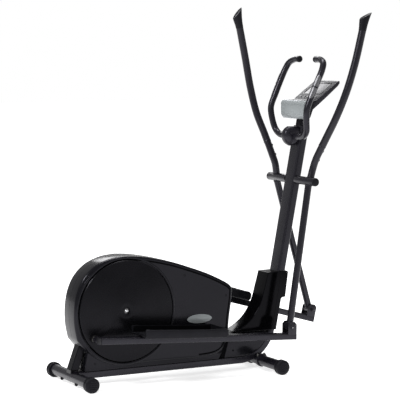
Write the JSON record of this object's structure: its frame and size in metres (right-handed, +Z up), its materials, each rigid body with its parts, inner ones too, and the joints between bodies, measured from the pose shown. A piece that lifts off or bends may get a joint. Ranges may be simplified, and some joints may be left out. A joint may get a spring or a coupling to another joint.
{
  "type": "elliptical trainer",
  "caption": "Rear-drive elliptical trainer: round crank housing behind, leaning mast with console in front, swinging handle arms joined to long pedal arms with footplates.",
  "frame": {"origin": "middle of the footprint on the floor, under the middle of the bounding box", "axes": "+Z up, +X the way the user faces, -Y the user's right"},
  "size_m": [1.3782, 0.618, 1.6457],
  "materials": {
    "frame_paint": "satin black powder coat",
    "housing_plastic": "semi-gloss moulded black",
    "shroud_plastic": "gloss black",
    "silver_plastic": "satin silver",
    "key_plastic": "matt grey",
    "display_lens": "clear hard coat",
    "rubber": "matt black",
    "steel": "bright",
    "iron": "machined rim"
  },
  "bodies": {
    "frame": {"base_tube": "frame_paint", "rear_stabilizer": "frame_paint", "front_stabilizer": "frame_paint", "rear_post": "frame_paint", "rear_brace": "frame_paint", "crank_carrier": "frame_paint", "flywheel_fork": "frame_paint", "mast": "frame_paint", "handlebar_cross": "frame_paint", "flywheel_axle": "steel", "pivot_axle": "steel", "mast_shroud": "shroud_plastic", "foot_cover": "housing_plastic", "clamp_cover": "housing_plastic", "neck_cover": "housing_plastic", "drive_belt": "rubber", "console_body": "silver_plastic", "console_screen": "display_lens", "rear_foot_right": "rubber", "front_foot_right": "rubber", "crank_bearing_right": "steel", "housing_shell_right": "housing_plastic", "handlebar_lower_right": "frame_paint", "handlebar_upper_right": "frame_paint", "rear_foot_left": "rubber", "front_foot_left": "rubber", "crank_bearing_left": "steel", "housing_shell_left": "housing_plastic", "handlebar_lower_left": "frame_paint", "handlebar_upper_left": "frame_paint"},
    "crank": {"crank_axle": "steel", "crank_pulley": "housing_plastic", "crank_arm_right": "frame_paint", "crank_arm_left": "frame_paint", "crank_disc_right": "housing_plastic", "crank_disc_left": "housing_plastic", "crank_bolt_right": "steel", "crank_bolt_left": "steel"},
    "flywheel_set": {"flywheel": "iron", "flywheel_pulley": "steel"},
    "brake": {"brake_shoe": "steel"},
    "swing_right": {"swing_arm_right": "frame_paint", "handle_right": "frame_paint", "handle_cap_right": "rubber", "pivot_cap_right": "rubber"},
    "pedal_right": {"pedal_arm_right": "frame_paint", "lower_pin_right": "steel", "footplate_right": "rubber"},
    "swing_left": {"swing_arm_left": "frame_paint", "handle_left": "frame_paint", "handle_cap_left": "rubber", "pivot_cap_left": "rubber"},
    "pedal_left": {"pedal_arm_left": "frame_paint", "lower_pin_left": "steel", "footplate_left": "rubber"},
    "button_1": {"console_button_1": "key_plastic"},
    "button_2": {"console_button_2": "key_plastic"},
    "button_3": {"console_button_3": "key_plastic"},
    "button_4": {"console_button_4": "key_plastic"},
    "button_5": {"console_button_5": "key_plastic"}
  },
  "joints": [
    {"name": "crank_spin", "type": "hinge", "parent": "frame", "child": "crank", "pos_m": [-0.4221, 0, 0.316], "axis": [0, 1, 0], "continuous": true},
    {"name": "flywheel_spin", "type": "hinge", "parent": "frame", "child": "flywheel_set", "pos_m": [-0.0631, 0, 0.25], "axis": [0, 1, 0], "continuous": true},
    {"name": "resistance_adjust", "type": "slide", "parent": "frame", "child": "brake", "axis": [0.342, 0, 0.9397], "range_m": [0, 0.006]},
    {"name": "right_arm_swing", "type": "hinge", "parent": "frame", "child": "swing_right", "pos_m": [0.4559, -0.147, 0.856], "axis": [0, -1, 0], "range_deg": [-3.78, 28.62]},
    {"name": "left_arm_swing", "type": "hinge", "parent": "frame", "child": "swing_left", "pos_m": [0.4559, 0.147, 0.856], "axis": [0, -1, 0], "range_deg": [-28.62, 3.78]},
    {"name": "right_pedal_pivot", "type": "hinge", "parent": "swing_right", "child": "pedal_right", "pos_m": [0.35496, -0.15, 0.19709], "axis": [0, -1, 0], "range_deg": [-34.35, 4.54]},
    {"name": "left_pedal_pivot", "type": "hinge", "parent": "swing_left", "child": "pedal_left", "pos_m": [0.64221, 0.15, 0.21597], "axis": [0, -1, 0], "range_deg": [-4.5, 34.06]},
    {"name": "button_1_press", "type": "slide", "parent": "frame", "child": "button_1", "axis": [0.589, 0, -0.8081], "range_m": [0, 0.0015], "stiffness_N_per_m": 300},
    {"name": "button_2_press", "type": "slide", "parent": "frame", "child": "button_2", "axis": [0.589, 0, -0.8081], "range_m": [0, 0.0015], "stiffness_N_per_m": 300},
    {"name": "button_3_press", "type": "slide", "parent": "frame", "child": "button_3", "axis": [0.589, 0, -0.8081], "range_m": [0, 0.0015], "stiffness_N_per_m": 300},
    {"name": "button_4_press", "type": "slide", "parent": "frame", "child": "button_4", "axis": [0.589, 0, -0.8081], "range_m": [0, 0.0015], "stiffness_N_per_m": 300},
    {"name": "button_5_press", "type": "slide", "parent": "frame", "child": "button_5", "axis": [0.589, 0, -0.8081], "range_m": [0, 0.0015], "stiffness_N_per_m": 300}
  ],
  "couplings": [
    {"joint": "flywheel_spin", "follows": "crank_spin", "ratio": 5.909},
    {"joint": "left_arm_swing", "follows": "right_arm_swing", "ratio": -1},
    {"joint": "right_pedal_pivot", "follows": "right_arm_swing", "ratio": -1.2},
    {"joint": "left_pedal_pivot", "follows": "right_arm_swing", "ratio": 1.19}
  ]
}
